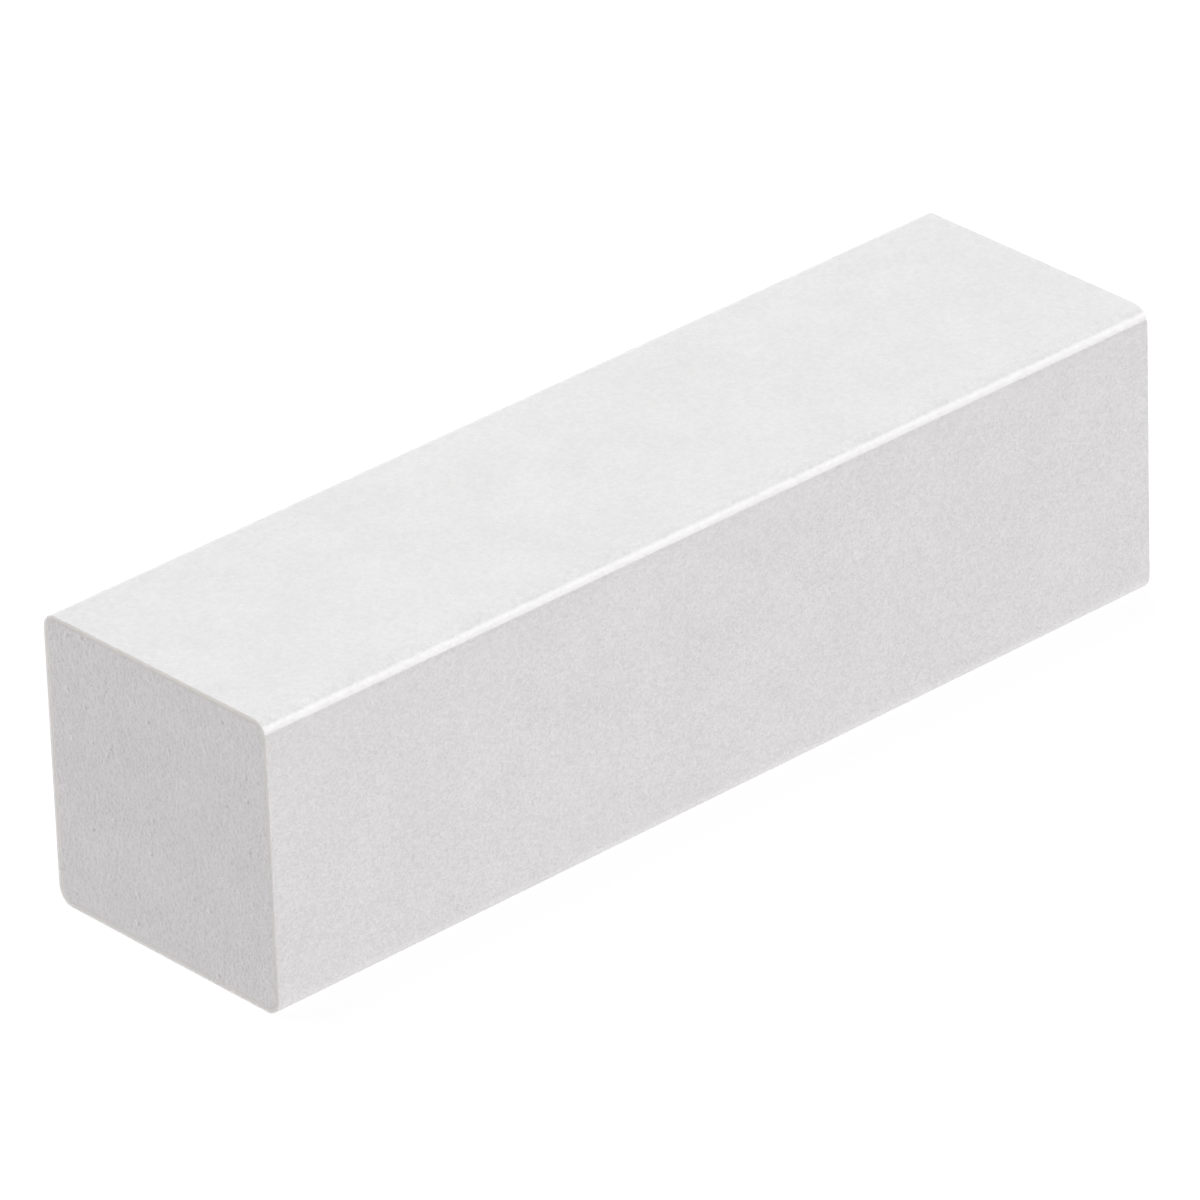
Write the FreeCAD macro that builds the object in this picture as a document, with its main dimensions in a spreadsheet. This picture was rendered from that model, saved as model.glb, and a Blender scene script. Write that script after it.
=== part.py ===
import FreeCAD, Part
import math
import os

import Sketcher

# A four-sided nail buffer block, in millimetres.
#
# A square bar of foam is the core. One sheet of coated abrasive is folded round its four long faces
# and glued on: grit on paper, with glue on the paper's back. The sheet's two ends meet in a narrow
# seam low on the back face. Both ends of the block are cut square through every layer, so the layers
# show there as rings round the foam.
#
# +X runs along the block, +Y points to its back face, which has the seam, and +Z is up. The origin
# is the centre of the face that the block rests on.

DIMENSIONS = {
    "block_length": 95.0,
    "core_side": 25.0,
    "core_round": 1.0,
    "glue_thickness": 0.08,
    "paper_thickness": 0.24,
    "grit_thickness": 0.18,
    "seam_gap": 0.12,
    "seam_height": 3.0,
}

# How far each layer's outer surface stands out from the foam, as expressions on the sheet.
FOAM = "0"
GLUE = "Dimensions.glue_thickness"
PAPER = GLUE + " + Dimensions.paper_thickness"
GRIT = PAPER + " + Dimensions.grit_thickness"

# Half the height of the finished block, which is also how high its axis lies.
AXIS_HEIGHT = "Dimensions.core_side / 2 + " + GRIT

ORIGIN_POINT = (-1, 1)
START, END = 1, 2
VOLUME_TOLERANCE = 1e-6


def half_side(layer):
    """The expression for half the side of a layer's square section."""
    return "Dimensions.core_side / 2 + " + layer


def corner_radius(layer):
    """The expression for the radius of a layer's corners, which all share the foam's centres."""
    return "Dimensions.core_round + " + layer


def dimension_sheet(doc):
    """The spreadsheet of driving dimensions: a name and a number in each row."""
    sheet = doc.addObject("Spreadsheet::Sheet", "Dimensions")
    for row, (name, value) in enumerate(DIMENSIONS.items(), start=1):
        sheet.set("A%d" % row, name)
        sheet.set("B%d" % row, str(value))
        sheet.setAlias("B%d" % row, name)
    doc.recompute()
    return sheet


def millimetres(obj, expression):
    """The number that an expression on the sheet stands for."""
    value = obj.evalExpression(expression)
    return float(getattr(value, "Value", value))


def new_body(doc, name):
    """A body whose own origin lies on the block's axis, half way up the finished block."""
    body = doc.addObject("PartDesign::Body", name)
    body.Label = name
    body.setExpression("Placement.Base.z", AXIS_HEIGHT)
    return body


def cross_section(body, name):
    """An empty sketch on the body's YZ plane: its x is the block's Y, and its y is Z."""
    sketch = body.newObject("Sketcher::SketchObject", name)
    plane = next(f for f in body.Origin.OriginFeatures if f.Role == "YZ_Plane")
    sketch.AttachmentSupport = [(plane, "")]
    sketch.MapMode = "FlatFace"
    return sketch


def bind(sketch, constraint, name, expression):
    """Add a dimension to a sketch and let an expression on the sheet drive it."""
    index = sketch.addConstraint(constraint)
    sketch.renameConstraint(index, name)
    sketch.setExpression("Constraints." + name, expression)


def rounded_square(sketch, name, layer):
    """Draw a layer's outline: a square centred on the axis, with an arc at each corner."""
    half = millimetres(sketch, half_side(layer))
    radius = millimetres(sketch, corner_radius(layer))
    flat = half - radius
    lines = []
    arcs = []
    for quarter in range(4):
        turn = FreeCAD.Rotation(FreeCAD.Vector(0, 0, 1), 90 * quarter)
        start = turn.multVec(FreeCAD.Vector(-flat, -half, 0))
        end = turn.multVec(FreeCAD.Vector(flat, -half, 0))
        centre = turn.multVec(FreeCAD.Vector(flat, -flat, 0))
        circle = Part.Circle(centre, FreeCAD.Vector(0, 0, 1), radius)
        first = math.radians(90 * (quarter - 1))
        lines.append(sketch.addGeometry(Part.LineSegment(start, end)))
        arcs.append(sketch.addGeometry(Part.ArcOfCircle(circle, first, first + math.pi / 2)))
    for quarter in range(4):
        line, arc = lines[quarter], arcs[quarter]
        following = lines[(quarter + 1) % 4]
        sketch.addConstraint(Sketcher.Constraint("Tangent", line, END, arc, START))
        sketch.addConstraint(Sketcher.Constraint("Tangent", arc, END, following, START))
        direction = "Horizontal" if quarter % 2 == 0 else "Vertical"
        sketch.addConstraint(Sketcher.Constraint(direction, line))
    for arc in arcs[1:]:
        sketch.addConstraint(Sketcher.Constraint("Equal", arcs[0], arc))
    bind(sketch, Sketcher.Constraint("Radius", arcs[0], radius), name + "_round", corner_radius(layer))
    bottom, back, top, front = lines
    for side, kind, low, high in (
        ("bottom", "DistanceY", (bottom, START), ORIGIN_POINT),
        ("back", "DistanceX", ORIGIN_POINT, (back, START)),
        ("top", "DistanceY", ORIGIN_POINT, (top, START)),
        ("front", "DistanceX", (front, START), ORIGIN_POINT),
    ):
        distance = Sketcher.Constraint(kind, *low, *high, half)
        bind(sketch, distance, "%s_%s" % (name, side), half_side(layer))


def pad_along_block(body, sketch):
    """Extrude a cross-section to the block's length, half each way from the middle."""
    pad = body.newObject("PartDesign::Pad", body.Name + "_pad")
    pad.Profile = sketch
    pad.SideType = "Symmetric"
    pad.setExpression("Length", "Dimensions.block_length")
    return pad


def open_seam(body):
    """Cut the seam through the back wall: a slot as high as the gap, along the whole block."""
    sketch = cross_section(body, body.Name + "_seam")
    reach = millimetres(sketch, "Dimensions.core_side")
    axis_height = millimetres(sketch, AXIS_HEIGHT)
    gap = millimetres(sketch, "Dimensions.seam_gap")
    low = millimetres(sketch, "Dimensions.seam_height") - axis_height - gap / 2
    corners = [(0, low), (reach, low), (reach, low + gap), (0, low + gap)]
    points = [FreeCAD.Vector(x, y, 0) for x, y in corners]
    lines = []
    for index, point in enumerate(points):
        following = points[(index + 1) % 4]
        lines.append(sketch.addGeometry(Part.LineSegment(point, following)))
    for index, line in enumerate(lines):
        following = lines[(index + 1) % 4]
        sketch.addConstraint(Sketcher.Constraint("Coincident", line, END, following, START))
        direction = "Horizontal" if index % 2 == 0 else "Vertical"
        sketch.addConstraint(Sketcher.Constraint(direction, line))
    bottom, outside, top, inside = lines
    sketch.addConstraint(Sketcher.Constraint("PointOnObject", inside, END, -2))
    width = Sketcher.Constraint("DistanceX", bottom, START, bottom, END, reach)
    bind(sketch, width, "reach", "Dimensions.core_side")
    opening = Sketcher.Constraint("DistanceY", outside, START, outside, END, gap)
    bind(sketch, opening, "gap", "Dimensions.seam_gap")
    drop = Sketcher.Constraint("DistanceY", bottom, START, *ORIGIN_POINT, -low)
    below_axis = "%s - Dimensions.seam_height + Dimensions.seam_gap / 2" % AXIS_HEIGHT
    bind(sketch, drop, "below_axis", below_axis)
    pocket = body.newObject("PartDesign::Pocket", body.Name + "_slot")
    pocket.Profile = sketch
    pocket.SideType = "Symmetric"
    pocket.Type = "ThroughAll"
    return pocket


def foam_core(doc):
    """The solid bar of foam."""
    body = new_body(doc, "foam_core")
    section = cross_section(body, "foam_section")
    rounded_square(section, "foam", FOAM)
    pad_along_block(body, section)
    return body


def wrapped_layer(doc, name, inner, outer):
    """A layer of the sheet: a ring between two outlines, open at the seam."""
    body = new_body(doc, name)
    section = cross_section(body, name + "_section")
    rounded_square(section, "inner", inner)
    rounded_square(section, "outer", outer)
    pad_along_block(body, section)
    open_seam(body)
    return body


def glue_film(doc):
    """The film of glue on the paper's back, which holds the sheet to the foam."""
    return wrapped_layer(doc, "glue_film", FOAM, GLUE)


def backing_paper(doc):
    """The sheet's backing paper, folded round the foam."""
    return wrapped_layer(doc, "backing_paper", GLUE, PAPER)


def grit_coat(doc):
    """The sheet's bonded grit, which is the outside of the block."""
    return wrapped_layer(doc, "grit_coat", PAPER, GRIT)


def outline_area(sheet, layer):
    """The area inside a layer's outline."""
    side = 2 * millimetres(sheet, half_side(layer))
    radius = millimetres(sheet, corner_radius(layer))
    return side**2 - (4 - math.pi) * radius**2


def expected_volumes(sheet):
    """What each piece's volume has to be, worked out from its section: a ring less its seam."""
    length = millimetres(sheet, "Dimensions.block_length")
    gap = millimetres(sheet, "Dimensions.seam_gap")
    volumes = {"foam_core": length * outline_area(sheet, FOAM)}
    for name, inner, outer, thickness in (
        ("glue_film", FOAM, GLUE, "Dimensions.glue_thickness"),
        ("backing_paper", GLUE, PAPER, "Dimensions.paper_thickness"),
        ("grit_coat", PAPER, GRIT, "Dimensions.grit_thickness"),
    ):
        ring = outline_area(sheet, outer) - outline_area(sheet, inner)
        volumes[name] = length * (ring - gap * millimetres(sheet, thickness))
    return volumes


def check(doc, sheet, bodies):
    """Stop on a failed feature, a loose sketch, an invalid solid or a cut that removed nothing."""
    for obj in doc.Objects:
        if "Invalid" in obj.State or "Error" in obj.State:
            raise SystemExit("%s failed: %s" % (obj.Label, obj.State))
        if obj.isDerivedFrom("Sketcher::SketchObject") and not obj.FullyConstrained:
            raise SystemExit("%s is not fully constrained" % obj.Label)
    volumes = expected_volumes(sheet)
    for body in bodies:
        shape = body.Shape
        if shape.isNull() or not shape.isValid() or len(shape.Solids) != 1:
            raise SystemExit("%s is not one valid solid" % body.Label)
        wanted = volumes[body.Label]
        if abs(shape.Volume - wanted) > VOLUME_TOLERANCE * wanted:
            raise SystemExit("%s has volume %.3f, not %.3f" % (body.Label, shape.Volume, wanted))
        box = shape.BoundBox
        print("%-14s %7.2f x %5.2f x %5.2f mm, %9.2f mm3, low point %.3f mm"
              % (body.Label, box.XLength, box.YLength, box.ZLength, shape.Volume, box.ZMin))


def main():
    doc = FreeCAD.newDocument("nail_buffer_block")
    sheet = dimension_sheet(doc)
    bodies = [foam_core(doc), glue_film(doc), backing_paper(doc), grit_coat(doc)]
    doc.recompute()
    check(doc, sheet, bodies)
    os.makedirs("parts", exist_ok=True)
    for body in bodies:
        body.Shape.exportStep("parts/%s.step" % body.Label)


main()
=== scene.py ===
import math

import bpy
from mathutils import Matrix, Vector


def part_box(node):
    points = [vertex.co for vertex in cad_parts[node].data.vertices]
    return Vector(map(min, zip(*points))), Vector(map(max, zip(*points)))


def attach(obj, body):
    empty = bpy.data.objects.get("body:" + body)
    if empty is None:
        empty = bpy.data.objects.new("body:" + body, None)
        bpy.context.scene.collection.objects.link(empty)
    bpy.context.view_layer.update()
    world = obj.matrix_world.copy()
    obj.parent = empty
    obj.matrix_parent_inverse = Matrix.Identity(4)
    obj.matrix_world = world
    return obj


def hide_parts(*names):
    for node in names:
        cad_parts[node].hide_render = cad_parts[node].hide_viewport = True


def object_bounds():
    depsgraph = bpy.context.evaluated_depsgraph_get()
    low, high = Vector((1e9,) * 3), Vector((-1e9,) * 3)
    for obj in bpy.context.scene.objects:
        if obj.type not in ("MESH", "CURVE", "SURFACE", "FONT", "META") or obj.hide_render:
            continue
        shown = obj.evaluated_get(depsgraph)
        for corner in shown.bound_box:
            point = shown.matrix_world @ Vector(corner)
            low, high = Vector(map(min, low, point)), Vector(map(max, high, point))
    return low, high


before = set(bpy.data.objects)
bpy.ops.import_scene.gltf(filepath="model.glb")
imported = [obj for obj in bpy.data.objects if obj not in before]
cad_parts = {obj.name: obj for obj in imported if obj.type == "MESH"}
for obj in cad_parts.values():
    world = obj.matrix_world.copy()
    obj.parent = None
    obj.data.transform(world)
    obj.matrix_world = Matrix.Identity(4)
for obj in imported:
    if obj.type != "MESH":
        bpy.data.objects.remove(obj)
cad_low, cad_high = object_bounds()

# ---------------------------------------------------------------------------------------------
# Foam core. A bar of fine closed-cell foam, sliced off a long strip with a band knife, so that
# both ends show opened cells, a few larger bubbles and the knife's faint parallel lines. It is
# the only thick piece: the abrasive sheet is folded and glued round its four long faces.
# ---------------------------------------------------------------------------------------------

MM = 0.001


class Value:
    """A node's output. Arithmetic on it adds Math nodes to the same tree."""

    def __init__(self, graph, socket):
        self.graph = graph
        self.socket = socket

    def math(self, operation, *values):
        return self.graph.node("ShaderNodeMath", {"operation": operation}, values)

    def other(self, name):
        """Another output of the same node."""
        outputs = self.socket.node.outputs
        found = next(socket for socket in outputs if socket.enabled and socket.name == name)
        return Value(self.graph, found)

    def __add__(self, other):
        return self.math("ADD", self, other)

    def __radd__(self, other):
        return self.math("ADD", other, self)

    def __sub__(self, other):
        return self.math("SUBTRACT", self, other)

    def __rsub__(self, other):
        return self.math("SUBTRACT", other, self)

    def __mul__(self, other):
        return self.math("MULTIPLY", self, other)

    def __rmul__(self, other):
        return self.math("MULTIPLY", other, self)

    def __truediv__(self, other):
        return self.math("DIVIDE", self, other)

    def __rtruediv__(self, other):
        return self.math("DIVIDE", other, self)

    def __neg__(self):
        return self.math("MULTIPLY", self, -1.0)

    def __gt__(self, other):
        return self.math("GREATER_THAN", self, other)

    def __lt__(self, other):
        return self.math("LESS_THAN", self, other)

    def __abs__(self):
        return self.math("ABSOLUTE", self)

    def floor(self):
        return self.math("FLOOR", self)

    def sign(self):
        return self.math("SIGN", self)

    def sin(self):
        return self.math("SINE", self)

    def cos(self):
        return self.math("COSINE", self)

    def least(self, other):
        return self.math("MINIMUM", self, other)

    def most(self, other):
        return self.math("MAXIMUM", self, other)

    def step(self, low, high, start=0.0, end=1.0):
        """A smooth change from start to end as the value goes from low to high."""
        return self.graph.node(
            "ShaderNodeMapRange",
            {"interpolation_type": "SMOOTHSTEP"},
            {"Value": self, "From Min": low, "From Max": high, "To Min": start, "To Max": end},
        )


class Graph:
    """A node tree, written as expressions."""

    def __init__(self, tree):
        self.tree = tree

    def node(self, kind, settings=None, inputs=(), output=0):
        """Add a node: first its settings, then a value or a link for each socket."""
        made = self.tree.nodes.new(kind)
        for name, setting in (settings or {}).items():
            setattr(made, name, setting)
        shown = [socket for socket in made.inputs if socket.enabled]
        named = {}
        for socket in shown:
            named.setdefault(socket.name, socket)
        pairs = inputs.items() if isinstance(inputs, dict) else enumerate(inputs)
        for key, value in pairs:
            socket = named[key] if isinstance(key, str) else shown[key]
            if isinstance(value, Value):
                self.tree.links.new(value.socket, socket)
            else:
                socket.default_value = value
        outputs = [socket for socket in made.outputs if socket.enabled]
        if isinstance(output, str):
            return Value(self, next(socket for socket in outputs if socket.name == output))
        return Value(self, outputs[output]) if outputs else made

    def parts(self, vector):
        """The x, y and z of a vector."""
        split = self.node("ShaderNodeSeparateXYZ", None, (vector,))
        return [Value(self, socket) for socket in split.socket.node.outputs]

    def vector(self, x=0.0, y=0.0, z=0.0):
        return self.node("ShaderNodeCombineXYZ", None, (x, y, z))

    def vectors(self, operation, *values):
        return self.node("ShaderNodeVectorMath", {"operation": operation}, values)

    def noise(self, place, size, detail=2.0, roughness=0.5):
        """Cloudy noise from 0 to 1, with lumps of about the given size."""
        inputs = {"Vector": place, "Scale": 1.0 / size, "Detail": detail, "Roughness": roughness}
        return self.node("ShaderNodeTexNoise", None, inputs)

    def cells(self, place, size, feature="F1", dimensions="3D"):
        """A Voronoi pattern of cells of about the given size: the distance to the nearest."""
        settings = {"voronoi_dimensions": dimensions, "feature": feature}
        return self.node("ShaderNodeTexVoronoi", settings, {"Vector": place, "Scale": 1.0 / size})


def geometry_tree(name, inputs):
    """A Geometry Nodes tree with named inputs, and its inputs as values."""
    tree = bpy.data.node_groups.new(name, "GeometryNodeTree")
    tree.interface.new_socket("Geometry", in_out="OUTPUT", socket_type="NodeSocketGeometry")
    for label, kind in inputs.items():
        tree.interface.new_socket(label, in_out="INPUT", socket_type="NodeSocket" + kind)
    graph = Graph(tree)
    given = tree.nodes.new("NodeGroupInput")
    return graph, {label: Value(graph, given.outputs[label]) for label in inputs}


def finish_tree(graph, geometry, material):
    """End a tree in Realize Instances and Set Material."""
    real = graph.node("GeometryNodeRealizeInstances", None, (geometry,))
    coated = graph.node("GeometryNodeSetMaterial", None, {"Geometry": real, "Material": material})
    graph.node("NodeGroupOutput", None, (coated,))


def grown(name, graph, values):
    """A plain mesh object, made by running a Geometry Nodes tree once with these inputs."""
    piece = bpy.data.objects.new(name, bpy.data.meshes.new(name))
    bpy.context.collection.objects.link(piece)
    modifier = piece.modifiers.new(name, "NODES")
    modifier.node_group = graph.tree
    for item in graph.tree.interface.items_tree:
        if item.in_out == "INPUT":
            modifier[item.identifier] = values[item.name]
    shown = piece.evaluated_get(bpy.context.evaluated_depsgraph_get())
    mesh = bpy.data.meshes.new_from_object(shown)
    piece.modifiers.remove(modifier)
    # A cube made by nodes brings an empty material slot, which stays in front of the real one.
    while mesh.materials[0] is None:
        mesh.materials.pop(index=0)
    piece.data = mesh
    mesh.name = name
    return piece


def sharp_past(graph, mesh, degrees):
    """Shade a mesh smooth, apart from its edges that turn by more than the given angle."""
    smooth = graph.node("GeometryNodeSetShadeSmooth", None, {"Geometry": mesh})
    turn = graph.node("GeometryNodeInputMeshEdgeAngle")
    settings = {"domain": "EDGE"}
    too_sharp = turn > math.radians(degrees)
    inputs = {"Geometry": smooth, "Selection": too_sharp, "Shade Smooth": False}
    return graph.node("GeometryNodeSetShadeSmooth", settings, inputs)


def shader(name):
    """A new material: its graph, its Principled shader and its place on the object."""
    material = bpy.data.materials.new(name)
    material.use_nodes = True
    graph = Graph(material.node_tree)
    surface = material.node_tree.nodes["Principled BSDF"]
    place = graph.node("ShaderNodeTexCoord", None, (), "Object")
    return material, graph, surface, place


def connect(graph, surface, **links):
    """Link values to the Principled shader's sockets, named with _ for a space."""
    for name, value in links.items():
        graph.tree.links.new(value.socket, surface.inputs[name.replace("_", " ")])


def bumped(graph, height):
    """The normal of a surface whose height, in metres, varies by the given value."""
    return graph.node("ShaderNodeBump", None, {"Strength": 1.0, "Distance": 1.0, "Height": height})


def tinted(graph, share, low, high):
    """A colour between two colours."""
    inputs = {"Factor": share, "A": (*low, 1.0), "B": (*high, 1.0)}
    return graph.node("ShaderNodeMix", {"data_type": "RGBA"}, inputs)


foam_low, foam_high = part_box("foam_core")
LENGTH = foam_high.x - foam_low.x
CORE_SIDE = foam_high.y - foam_low.y
AXIS_HEIGHT = (foam_low.z + foam_high.z) / 2
CORE_ROUND = 1.0 * MM
FOAM_GRID = 212
FOAM_SHARP_ANGLE = 60

# The two ends show different parts of one pattern, moved this far in it to opposite sides.
ENDS_ACROSS = 50 * MM
ENDS_APART = 10 * MM

CELL_SIZE = 0.42 * MM
CELL_DEPTH = 0.022 * MM
# A bubble's radius, and how much larger it may be, are shares of the bubbles' spacing.
BUBBLE_SPACING = 2.3 * MM
BUBBLE_RADIUS = 0.07
BUBBLE_SPREAD = 0.06
BUBBLE_CHANCE = 0.3
BUBBLE_DEPTH = 0.09 * MM
KNIFE_WAVE = 7.0 * MM
KNIFE_DEPTH = 0.03 * MM

PORE_SIZE = 0.16 * MM
STROKE_SIZE = 0.9 * MM
FOAM_CLOUDS = 5.0 * MM
PORE_BUMP = 0.008 * MM
STROKE_BUMP = 0.005 * MM
CELL_BUMP = 0.016 * MM
CELL_TONE_BUMP = 0.008 * MM
FOAM_GREY = (0.695, 0.689, 0.690)
FOAM_WHITE = (0.860, 0.854, 0.856)
FOAM_SPECULAR = 0.3


def cut_cells(graph, place):
    """Where a cut end's cells and its few larger bubbles lie open, each from 0 to 1.

    Both follow a point's place across its end, which comes first, and not its depth.
    """
    x, y, z = graph.parts(place)
    side = x.sign()
    across = graph.vector(y + side * ENDS_ACROSS, z, side * ENDS_APART)
    wall = graph.cells(across, CELL_SIZE, "DISTANCE_TO_EDGE")
    bubble = graph.cells(across, BUBBLE_SPACING, dimensions="2D")
    chance, reach, _ = graph.parts(bubble.other("Color"))
    radius = reach * BUBBLE_SPREAD + BUBBLE_RADIUS
    round_hole = (bubble / radius).step(0.2, 1.0, 1.0, 0.0)
    return across, wall.step(0.02, 0.26), round_hole * (chance > 1 - BUBBLE_CHANCE)


def foam_tree():
    """A square bar, its long edges rounded and its two ends cut into cells."""
    graph, given = geometry_tree(
        "foam_bar",
        {"Length": "Float", "Side": "Float", "Round": "Float", "Height": "Float",
         "Grid": "Int", "Foam": "Material"},
    )
    length, side, corner, height = (given[name] for name in ("Length", "Side", "Round", "Height"))
    sizes = {
        "Size": graph.vector(length, side, side),
        "Vertices X": 2,
        "Vertices Y": given["Grid"],
        "Vertices Z": given["Grid"],
    }
    bar = graph.node("GeometryNodeMeshCube", None, sizes, "Mesh")

    # The square grid of each section is drawn in towards its corners' arcs.
    x, y, z = graph.parts(graph.node("GeometryNodeInputPosition"))
    flat = side / 2 - corner
    over_y = (abs(y) - flat).most(0.0)
    over_z = (abs(z) - flat).most(0.0)
    reach = over_y.math("SQRT", over_y * over_y + over_z * over_z).most(1e-9)
    pull = over_y.most(over_z) / reach
    new_y = y.sign() * (abs(y).least(flat) + over_y * pull)
    new_z = z.sign() * (abs(z).least(flat) + over_z * pull)

    # The ends are sunk where a cell, a bubble or the knife's wave lies.
    across, cell, bubble = cut_cells(graph, graph.vector(x, new_y, new_z + height))
    wave = graph.noise(across, KNIFE_WAVE) * KNIFE_DEPTH
    new_x = x - x.sign() * (cell * CELL_DEPTH + bubble * BUBBLE_DEPTH + wave)
    moved = {"Geometry": bar, "Position": graph.vector(new_x, new_y, new_z + height)}
    cut = graph.node("GeometryNodeSetPosition", None, moved)
    finish_tree(graph, sharp_past(graph, cut, FOAM_SHARP_ANGLE), given["Foam"])
    return graph


def foam_material():
    """Matt white foam and faint knife strokes, with painted shade in the open cells and bubbles.
    """
    material, graph, surface, place = shader("white_foam")
    across, cell, bubble = cut_cells(graph, place)
    y, z, _ = graph.parts(across)
    strokes = graph.noise(graph.vector(y * 4.0 + z, z * 0.15, 0.0), STROKE_SIZE)
    pores = graph.cells(across, PORE_SIZE)
    cell_tone = graph.parts(graph.cells(across, CELL_SIZE).other("Color"))[0]
    clouds = graph.noise(across, FOAM_CLOUDS, 3.0)
    shade = clouds.step(0.3, 0.7, -0.22, 0.22) + pores.step(0.0, 0.7, -0.2, 0.2)
    shade = shade + cell_tone * 0.5 - 0.25 + strokes.step(0.3, 0.7, -0.1, 0.1)
    # Open cells and bubbles are painted darker than the cell walls: painted shade in the hollows.
    shade = shade + (0.62 - cell) * 0.6 - bubble * 0.8
    colour = tinted(graph, shade * 0.5 + 0.5, FOAM_GREY, FOAM_WHITE)
    height = pores * PORE_BUMP + strokes * STROKE_BUMP - cell * CELL_BUMP
    height = height + cell_tone * CELL_TONE_BUMP
    connect(graph, surface, Base_Color=colour, Roughness=clouds.step(0.3, 0.7, 0.74, 0.86))
    connect(graph, surface, Normal=bumped(graph, height))
    surface.inputs["Specular IOR Level"].default_value = FOAM_SPECULAR
    return material


foam = grown(
    "foam_bar",
    foam_tree(),
    {"Length": LENGTH, "Side": CORE_SIDE, "Round": CORE_ROUND, "Height": AXIS_HEIGHT,
     "Grid": FOAM_GRID, "Foam": foam_material()},
)
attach(foam, "root")
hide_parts("foam_core")

# ---------------------------------------------------------------------------------------------
# Glue film. Pressure-sensitive glue on the back of the abrasive sheet, a faintly yellow film
# that holds the folded sheet to the foam. It shows only as a hairline round the cut ends and
# down inside the seam.
# ---------------------------------------------------------------------------------------------

# How far each layer's outer surface stands out from the foam.
_, glue_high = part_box("glue_film")
_, paper_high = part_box("backing_paper")
_, grit_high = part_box("grit_coat")
FOAM_SURFACE = 0.0
GLUE_SURFACE = glue_high.z - foam_high.z
PAPER_SURFACE = paper_high.z - foam_high.z
GRIT_SURFACE = grit_high.z - foam_high.z

# The seam's two edges wander a little, and the cut has pressed them together at each end.
SEAM_HEIGHT = 3.0 * MM
SEAM_GAP = 0.12 * MM
SEAM_FRAY = 0.05 * MM
FRAY_SIZE = 1.6 * MM
SEAM_PINCH = 0.045 * MM
PINCH_LENGTH = 4.0 * MM

# A fold gets as many of the outline's points as a flat stretch of this length.
FOLD_SHARE = 12.0 * MM
SHEET_POINTS = 152
SHEET_STEPS = 100
SHEET_SHARP_ANGLE = 40
# What each point keeps while it is swept: its place in the section, the way out from the foam,
# whether it lies on the outer face, and how far along the path it is.
SHEET_ATTRIBUTES = {
    "section": "FLOAT_VECTOR",
    "outward": "FLOAT_VECTOR",
    "outside": "FLOAT",
    "share": "FLOAT",
}

GLUE_INSET = 0.03 * MM
GLUE_PATCHES = 1.2 * MM
GLUE_STREAKS = 0.15 * MM
GLUE_PATCH_BUMP = 0.02 * MM
GLUE_STREAK_BUMP = 0.01 * MM
GLUE_DARK = (0.70, 0.683, 0.635)
GLUE_PALE = (0.80, 0.785, 0.74)


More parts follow.
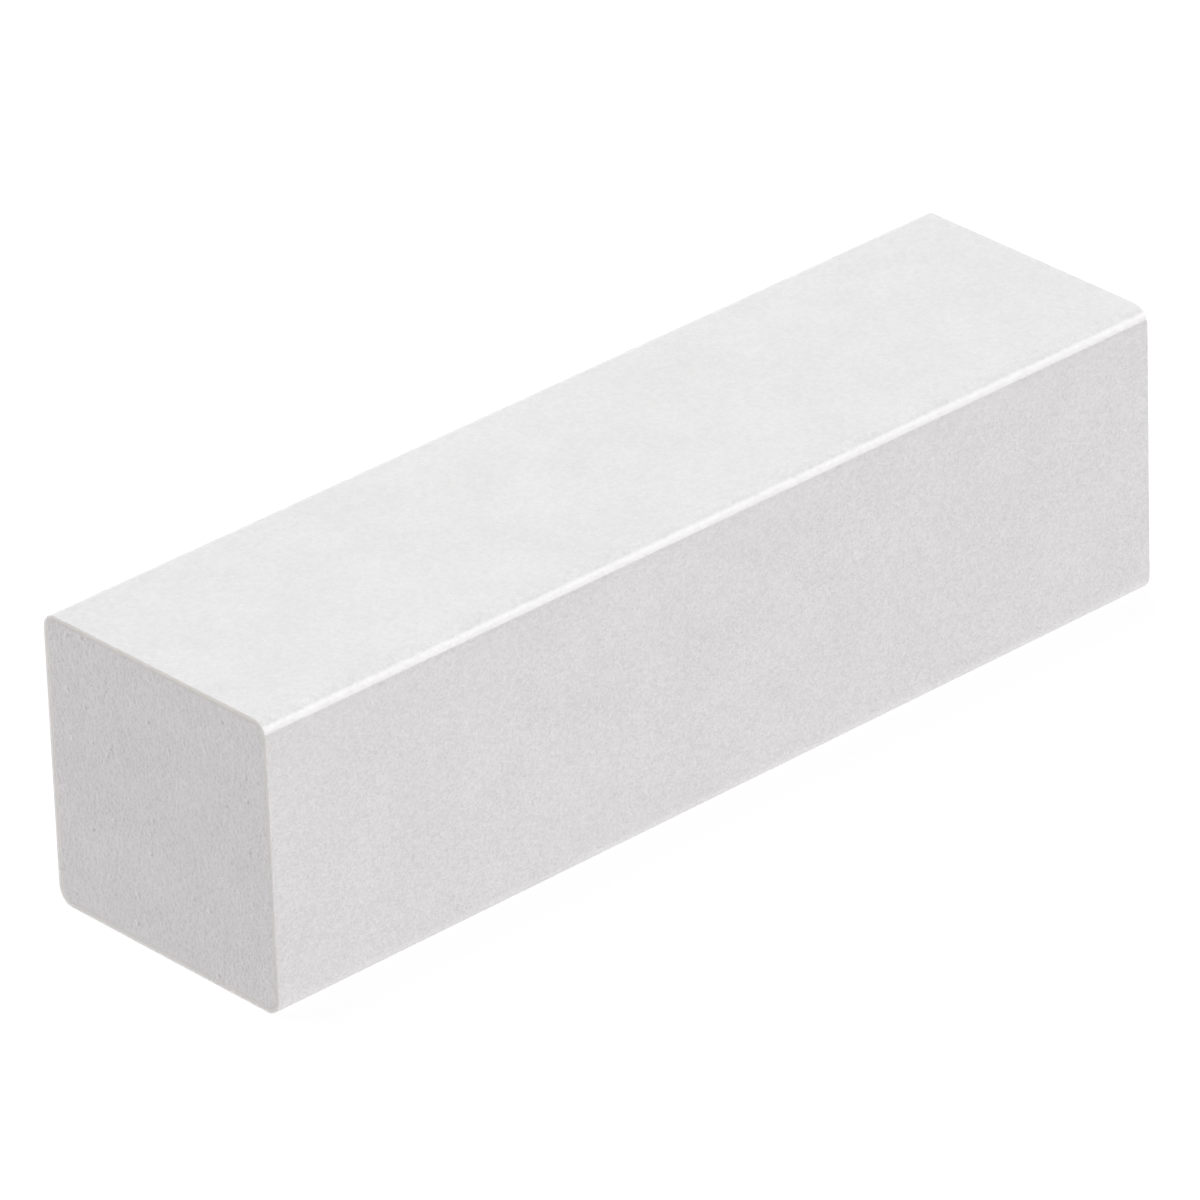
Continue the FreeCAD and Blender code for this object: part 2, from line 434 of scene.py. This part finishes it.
def sheet_tree():
    """A layer of the sheet, folded round the foam from one side of the seam to the other.

    The layer's section is one closed outline: out along its outer face, back along its inner.
    Every outline follows the same path, four flats joined by four folds that all turn about the
    foam's own corner centres, at its own distance out from the foam.
    """
    graph, given = geometry_tree(
        "folded_layer",
        {"Length": "Float", "Side": "Float", "Round": "Float", "Height": "Float",
         "Inner": "Float", "Outer": "Float", "Inset": "Float", "Seam height": "Float",
         "Seam gap": "Float", "Outer points": "Int", "Inner points": "Int", "Steps": "Int",
         "Relief depth": "Float", "Relief size": "Float", "Layer": "Material"},
    )

    def turned(vector, quarters):
        inputs = {"Vector": vector, "Angle": quarters * (math.pi / 2)}
        return graph.node("ShaderNodeVectorRotate", {"rotation_type": "X_AXIS"}, inputs)

    def kept(geometry, name, value):
        settings = {"data_type": SHEET_ATTRIBUTES[name], "domain": "POINT"}
        inputs = {"Geometry": geometry, "Name": name, "Value": value}
        return graph.node("GeometryNodeStoreNamedAttribute", settings, inputs)

    def read(name):
        settings = {"data_type": SHEET_ATTRIBUTES[name]}
        return graph.node("GeometryNodeInputNamedAttribute", settings, {"Name": name})

    # The path starts just above the seam and goes once round the block. Each quarter of it is
    # half a flat, a fold and half of the next flat.
    flat = given["Side"] / 2 - given["Round"]
    quarter = flat * 2 + FOLD_SHARE
    seam = given["Seam height"] - given["Height"]
    start = flat * 2 + FOLD_SHARE + seam + given["Seam gap"] / 2
    span = quarter * 4 - given["Seam gap"]

    outer_points, inner_points = given["Outer points"], given["Inner points"]
    line = graph.node("GeometryNodeMeshLine", None, {"Count": outer_points + inner_points})
    index = graph.node("GeometryNodeInputIndex")
    outside = index < outer_points - 0.5
    out_share = index / (outer_points - 1)
    back_share = 1 - (index - outer_points) / (inner_points - 1)
    share = out_share * outside + back_share * (1 - outside)

    path = start + share * span
    corner = (path / quarter).floor()
    along = path - corner * quarter
    before = along.least(flat)
    turn = (along - flat).most(0.0).least(FOLD_SHARE) / FOLD_SHARE * (math.pi / 2)
    after = (along - flat - FOLD_SHARE).most(0.0)
    reach = given["Round"] + given["Inner"] + (given["Outer"] - given["Inner"]) * outside
    section = graph.vector(0.0, before + reach * turn.sin(), after - flat - reach * turn.cos())
    outward = graph.vector(0.0, turn.sin(), -turn.cos())

    line = kept(line, "section", turned(section, corner))
    line = kept(line, "outward", turned(outward, corner))
    line = kept(line, "outside", outside)
    line = kept(line, "share", share)
    _, across, up = graph.parts(read("section"))
    placed = {"Geometry": line, "Position": graph.vector(across, up, 0.0)}
    line = graph.node("GeometryNodeSetPosition", None, placed)
    outline = graph.node("GeometryNodeMeshToCurve", None, (line,))
    closed = {"Geometry": outline, "Cyclic": True}
    outline = graph.node("GeometryNodeSetSplineCyclic", None, closed)

    half = given["Length"] / 2 - given["Inset"]
    ends = {"Start": graph.vector(-half), "End": graph.vector(half)}
    length = graph.node("GeometryNodeCurvePrimitiveLine", None, ends)
    stepped = {"Curve": length, "Count": given["Steps"]}
    length = graph.node("GeometryNodeResampleCurve", None, stepped)
    swept = {"Curve": length, "Profile Curve": outline, "Fill Caps": True}
    body = graph.node("GeometryNodeCurveToMesh", None, swept)

    # The swept layer is put exactly on its section, then frayed at the seam and given relief.
    x, _, _ = graph.parts(graph.node("GeometryNodeInputPosition"))
    _, y, z = graph.parts(read("section"))
    _, out_y, out_z = graph.parts(read("outward"))
    near_start = read("share") * span
    near_end = span - near_start
    seam_side = (near_start < near_end) * 2 - 1
    to_seam = near_start.least(near_end).step(0.0, FRAY_SIZE, 1.0, 0.0)
    to_cut = abs(x).step(half - PINCH_LENGTH, half)
    wander = graph.noise(graph.vector(x, seam_side, 0.0), FRAY_SIZE, 3.0) - 0.5
    fray = wander * (SEAM_FRAY * 2)
    strayed = (fray * (1 - to_cut) - seam_side * to_cut * SEAM_PINCH) * to_seam
    lumps = graph.noise(graph.vector(x, y, z), given["Relief size"], 3.0, 0.6)
    sunk = given["Relief depth"] * lumps.step(0.2, 0.8) * read("outside")
    new_y = y - out_y * sunk
    new_z = z - out_z * sunk + given["Height"] + strayed
    moved = {"Geometry": body, "Position": graph.vector(x, new_y, new_z)}
    body = graph.node("GeometryNodeSetPosition", None, moved)

    finish_tree(graph, sharp_past(graph, body, SHEET_SHARP_ANGLE), given["Layer"])
    return graph


folded_layer = sheet_tree()


def folded(name, inner, outer, material, changes):
    """One layer of the sheet as a piece, between two distances out from the foam."""
    values = {
        "Length": LENGTH, "Side": CORE_SIDE, "Round": CORE_ROUND, "Height": AXIS_HEIGHT,
        "Inner": inner, "Outer": outer, "Inset": 0.0, "Seam height": SEAM_HEIGHT,
        "Seam gap": SEAM_GAP, "Outer points": SHEET_POINTS, "Inner points": SHEET_POINTS,
        "Steps": SHEET_STEPS, "Relief depth": 0.0, "Relief size": 1.0 * MM, "Layer": material,
    }
    values.update(changes)
    return grown(name, folded_layer, values)


def glue_material():
    """Dried glue: faintly yellow, smoother than the paper, with fine streaks."""
    material, graph, surface, place = shader("dried_glue")
    patches = graph.noise(place, GLUE_PATCHES, 3.0)
    streaks = graph.noise(place, GLUE_STREAKS, 2.0)
    colour = tinted(graph, patches * 0.6 + streaks * 0.4, GLUE_DARK, GLUE_PALE)
    height = patches * GLUE_PATCH_BUMP + streaks * GLUE_STREAK_BUMP
    connect(graph, surface, Base_Color=colour, Roughness=streaks.step(0.3, 0.7, 0.28, 0.5))
    connect(graph, surface, Normal=bumped(graph, height))
    return material


glue = folded("glue_on_paper", FOAM_SURFACE, GLUE_SURFACE, glue_material(), {"Inset": GLUE_INSET})
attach(glue, "root")
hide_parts("glue_film")

# ---------------------------------------------------------------------------------------------
# Backing paper. Latex-treated cream paper, the strong part of the abrasive sheet. It was cut
# from a roll, folded at the four long edges and trimmed flush with the foam. Its cut edge is a
# thin line round each end, cream along the top and painted greyer as shade on the other sides.
# ---------------------------------------------------------------------------------------------

PAPER_INSET = 0.01 * MM
FIBRE_SIZE = 0.06 * MM
FLECK_SIZE = 0.22 * MM
PAPER_CLOUDS = 3.0 * MM
FIBRE_BUMP = 0.02 * MM
FLECK_BUMP = 0.01 * MM
PAPER_DARK = (0.86, 0.838, 0.79)
PAPER_PALE = (0.95, 0.93, 0.885)
PAPER_SPECULAR = 0.25

# Along the top the paper is painted greyer, as shade, below the first of these depths, and keeps
# its cream above the second.
SHADED_DEPTH = 0.20 * MM
UNSHADED_DEPTH = 0.08 * MM
PAPER_SHADE_GREY = (0.80, 0.795, 0.788)
STAIN_SIZE = 0.9 * MM
GLUE_STAIN = (0.84, 0.76, 0.63)


def over_colour(graph, share, below, above):
    """A flat colour laid over another in part."""
    inputs = {"Factor": share, "A": below, "B": (*above, 1.0)}
    return graph.node("ShaderNodeMix", {"data_type": "RGBA"}, inputs)


def paper_material():
    """Cream paper: long fibres, flecks, a few glue stains along the top and painted grey shade
    elsewhere.
    """
    material, graph, surface, place = shader("cream_paper")
    x, y, z = graph.parts(place)
    fibres = graph.noise(graph.vector(x * 0.4, y, z), FIBRE_SIZE, 2.0)
    flecks = graph.cells(place, FLECK_SIZE)
    clouds = graph.noise(place, PAPER_CLOUDS, 2.0)
    share = clouds.step(0.3, 0.7, 0.0, 0.4) + fibres.step(0.3, 0.7, 0.0, 0.4)
    share = share + flecks.step(0.0, 0.6, 0.0, 0.2)
    colour = tinted(graph, share, PAPER_DARK, PAPER_PALE)
    to_top = z.step(paper_high.z - SHADED_DEPTH, paper_high.z - UNSHADED_DEPTH)
    stain = graph.noise(place, STAIN_SIZE).step(0.50, 0.64) * to_top * 0.6
    colour = over_colour(graph, stain, colour, GLUE_STAIN)
    # Everywhere but along the top the paper is painted greyer: painted shade on its cut edges.
    paper_shade = (1 - to_top * 0.9) * clouds.step(0.25, 0.6, 0.6, 0.9)
    colour = over_colour(graph, paper_shade, colour, PAPER_SHADE_GREY)
    height = fibres * FIBRE_BUMP + flecks * FLECK_BUMP
    connect(graph, surface, Base_Color=colour, Roughness=clouds.step(0.3, 0.7, 0.82, 0.92))
    connect(graph, surface, Normal=bumped(graph, height))
    surface.inputs["Specular IOR Level"].default_value = PAPER_SPECULAR
    return material


paper = folded("paper_wrap", GLUE_SURFACE, PAPER_SURFACE, paper_material(), {"Inset": PAPER_INSET})
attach(paper, "root")
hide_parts("backing_paper")

# ---------------------------------------------------------------------------------------------
# Grit coat. Fine white abrasive grains bonded to the paper with resin and dusted white against
# clogging. It is matt and slightly uneven, a few of its grains glint, and along the four folds
# a brighter white line is painted on as a highlight, broken up by a crack pattern.
# ---------------------------------------------------------------------------------------------

COAT_POINTS = 300
COAT_STEPS = 200
COAT_LUMPS = 0.9 * MM
COAT_RELIEF = 0.022 * MM

GRIT_SPACING = 0.17 * MM
CLUSTER_SIZE = 0.55 * MM
COAT_CLOUDS = 6.0 * MM
GRAIN_TILT = 0.30
GRAIN_BUMP = 0.009 * MM
CLUSTER_BUMP = 0.014 * MM
GLINT_CHANCE = 0.06
GLINT_GLOSS = 0.32
COAT_GREY = (0.715, 0.714, 0.714)
COAT_WHITE = (0.822, 0.821, 0.821)
COAT_SPECULAR = 0.4

# The cut edge shows clean grain, down to this depth in from each end.
CUT_DEPTH = 0.01 * MM
CUT_WHITE = (0.96, 0.948, 0.925)

# A painted highlight line fades in over the first of these ranges and out over the second, in
# degrees that the surface is turned from level.
FADE_IN = (38, 54)
FADE_OUT = (68, 74)
FOLD_WANDER = 0.06
CRACK_SIZE = 0.3 * MM
FOLD_HIGHLIGHT = (0.985, 0.984, 0.983)
# The painted highlight lines fade from the upper folds to the lower, and from the front to the
# back, as the light falls, between this far on one side of the middle and this far on the other.
HIGHLIGHT_CHANGE = 5 * MM


def fold_highlight(graph, place, clusters):
    """How strong the painted highlight along the folds is, from 0 to 1: most along the upper front
    fold, little below.
    """
    x, y, z = graph.parts(place)
    flat = CORE_SIDE / 2 - CORE_ROUND
    over_y = (abs(y) - flat).most(0.0)
    over_z = (abs(z - AXIS_HEIGHT) - flat).most(0.0)
    angle = over_y.math("ARCTAN2", over_y, over_z) + (clusters - 0.5) * FOLD_WANDER
    band = angle.step(*map(math.radians, FADE_IN))
    band = band * angle.step(*map(math.radians, FADE_OUT), 1.0, 0.0)
    crack = graph.noise(graph.vector(x * 0.35, y, z), CRACK_SIZE, 3.0)
    upper = z.step(AXIS_HEIGHT - HIGHLIGHT_CHANGE, AXIS_HEIGHT + HIGHLIGHT_CHANGE, 0.12, 1.0)
    frontal = y.step(-HIGHLIGHT_CHANGE, HIGHLIGHT_CHANGE, 1.0, 0.6)
    return band * upper * frontal * crack.step(0.2, 0.55, 0.92, 1.0)


def coat_material():
    """Bonded white grit: each grain is a small tilted facet with its own tone."""
    material, graph, surface, place = shader("white_grit")
    grain = graph.cells(place, GRIT_SPACING)
    chance = grain.other("Color")
    tone, shine, level = graph.parts(chance)
    from_middle = graph.vectors("SUBTRACT", place, grain.other("Position"))
    lean = graph.vectors("SUBTRACT", chance, (0.5, 0.5, 0.5))
    facet = graph.vectors("DOT_PRODUCT", from_middle, lean)
    clusters = graph.noise(place, CLUSTER_SIZE)
    clouds = graph.noise(place, COAT_CLOUDS, 3.0)
    share = tone * 0.5 + clusters.step(0.3, 0.7, 0.0, 0.28) + clouds.step(0.3, 0.7, 0.0, 0.22)
    colour = tinted(graph, share, COAT_GREY, COAT_WHITE)

    along = graph.parts(place)[0]
    colour = over_colour(graph, abs(along) > LENGTH / 2 - CUT_DEPTH, colour, CUT_WHITE)
    # A brighter white line is painted along the folds as a highlight, broken up by a crack
    # pattern.
    colour = over_colour(graph, fold_highlight(graph, place, clusters), colour, FOLD_HIGHLIGHT)

    rough = clusters.step(0.3, 0.7, 0.66, 0.8) - (shine > 1 - GLINT_CHANCE) * GLINT_GLOSS
    height = facet * GRAIN_TILT + level * GRAIN_BUMP + clusters * CLUSTER_BUMP
    connect(graph, surface, Base_Color=colour, Roughness=rough, Normal=bumped(graph, height))
    surface.inputs["Specular IOR Level"].default_value = COAT_SPECULAR
    return material


coat = folded(
    "grit_wrap", PAPER_SURFACE, GRIT_SURFACE, coat_material(),
    {"Outer points": COAT_POINTS, "Steps": COAT_STEPS,
     "Relief depth": COAT_RELIEF, "Relief size": COAT_LUMPS},
)
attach(coat, "root")
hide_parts("grit_coat")

# ---------------------------------------------------------------------------------------------
# Table and light. A plain white table and backdrop, a soft light overhead and slightly behind,
# a low soft light from the front left and a weak one from the back right.
# ---------------------------------------------------------------------------------------------

scene = bpy.context.scene
scene.view_settings.view_transform = "Standard"

FLOOR_SIZE = 40.0
FLOOR_DROP = 0.02 * MM
TABLE_BASE = (0.1, 0.1, 0.1)
TABLE_LIGHT = 0.94
bpy.ops.mesh.primitive_plane_add(size=FLOOR_SIZE, location=(0, 0, cad_low.z - FLOOR_DROP))
floor = bpy.context.object
floor.name = "table"
floor.visible_diffuse = False
floor.visible_shadow = False
table_white = bpy.data.materials.new("table_white")
table_white.use_nodes = True
table_surface = table_white.node_tree.nodes["Principled BSDF"]
table_surface.inputs["Base Color"].default_value = (*TABLE_BASE, 1.0)
table_surface.inputs["Roughness"].default_value = 1.0
table_surface.inputs["Specular IOR Level"].default_value = 0.0
table_surface.inputs["Emission Color"].default_value = (1.0, 1.0, 1.0, 1.0)
table_surface.inputs["Emission Strength"].default_value = TABLE_LIGHT
floor.data.materials.append(table_white)

# The block is lit by grey air above and the pale table's glow below; the camera sees white.
SKY = (0.263, 0.263, 0.263)
TABLE_GLOW = (0.605, 0.590, 0.597)
HORIZON = 0.15
world = bpy.data.worlds.new("studio")
scene.world = world
world.use_nodes = True
world.node_tree.nodes.clear()
air = Graph(world.node_tree)
_, _, rise = air.parts(air.node("ShaderNodeTexCoord", None, (), "Generated"))
glow = tinted(air, rise.step(-HORIZON, HORIZON), TABLE_GLOW, SKY)
seen = air.node("ShaderNodeLightPath", None, (), "Is Camera Ray")
backdrop = over_colour(air, seen, glow, (1.0, 1.0, 1.0))
background = air.node("ShaderNodeBackground", None, {"Color": backdrop, "Strength": 1.0})
air.node("ShaderNodeOutputWorld", None, (background,))


def soft_sun(name, towards, strength, width, colour=(1.0, 1.0, 1.0)):
    """A distant soft light that shines from the given direction, its width in degrees."""
    data = bpy.data.lights.new(name, "SUN")
    data.color = colour
    data.energy = strength
    data.angle = math.radians(width)
    light = bpy.data.objects.new(name, data)
    light.rotation_mode = "QUATERNION"
    light.rotation_quaternion = Vector(towards).to_track_quat("Z", "Y")
    bpy.context.collection.objects.link(light)


OVERHEAD_TILT = math.radians(16)
overhead = (0.0, math.sin(OVERHEAD_TILT), math.cos(OVERHEAD_TILT))
soft_sun("overhead", overhead, strength=2.64, width=25)
soft_sun("front_left", (-0.412, -0.911, 0.0), strength=1.72, width=20, colour=(1.0, 0.977, 0.988))
soft_sun("back_right", (0.85, 0.5, 0.0), strength=1.3, width=25)

# ---------------------------------------------------------------------------------------------
# Camera. It stands in front of the block's left end and looks down on it through a long lens,
# leaning over a little to one side.
# ---------------------------------------------------------------------------------------------

AZIMUTH = math.radians(-42.03)
ELEVATION = math.radians(28.66)
ROLL = math.radians(-1.97)
DISTANCE = 0.9248
LENS = 349.0
SENSOR = 36.0
NEAREST, FARTHEST = 0.01, 100.0
AIM = Vector((0.0, 0.0, 12.5 * MM))
SIDEWAYS, UPWARDS = 0.94 * MM, -0.48 * MM

backwards = Vector((
    math.sin(AZIMUTH) * math.cos(ELEVATION),
    -math.cos(AZIMUTH) * math.cos(ELEVATION),
    math.sin(ELEVATION),
))
level_right = Vector((0, 0, 1)).cross(backwards).normalized()
level_up = backwards.cross(level_right)
right = level_right * math.cos(ROLL) + level_up * math.sin(ROLL)
up = level_up * math.cos(ROLL) - level_right * math.sin(ROLL)
camera_data = bpy.data.cameras.new("camera")
camera_data.lens = LENS
camera_data.sensor_width = SENSOR
camera_data.clip_start = NEAREST
camera_data.clip_end = FARTHEST
camera = bpy.data.objects.new("camera", camera_data)
bpy.context.collection.objects.link(camera)
stand = Matrix((right, up, backwards)).transposed().to_4x4()
stand.translation = AIM + backwards * DISTANCE - right * SIDEWAYS - up * UPWARDS
camera.matrix_world = stand
scene.camera = camera
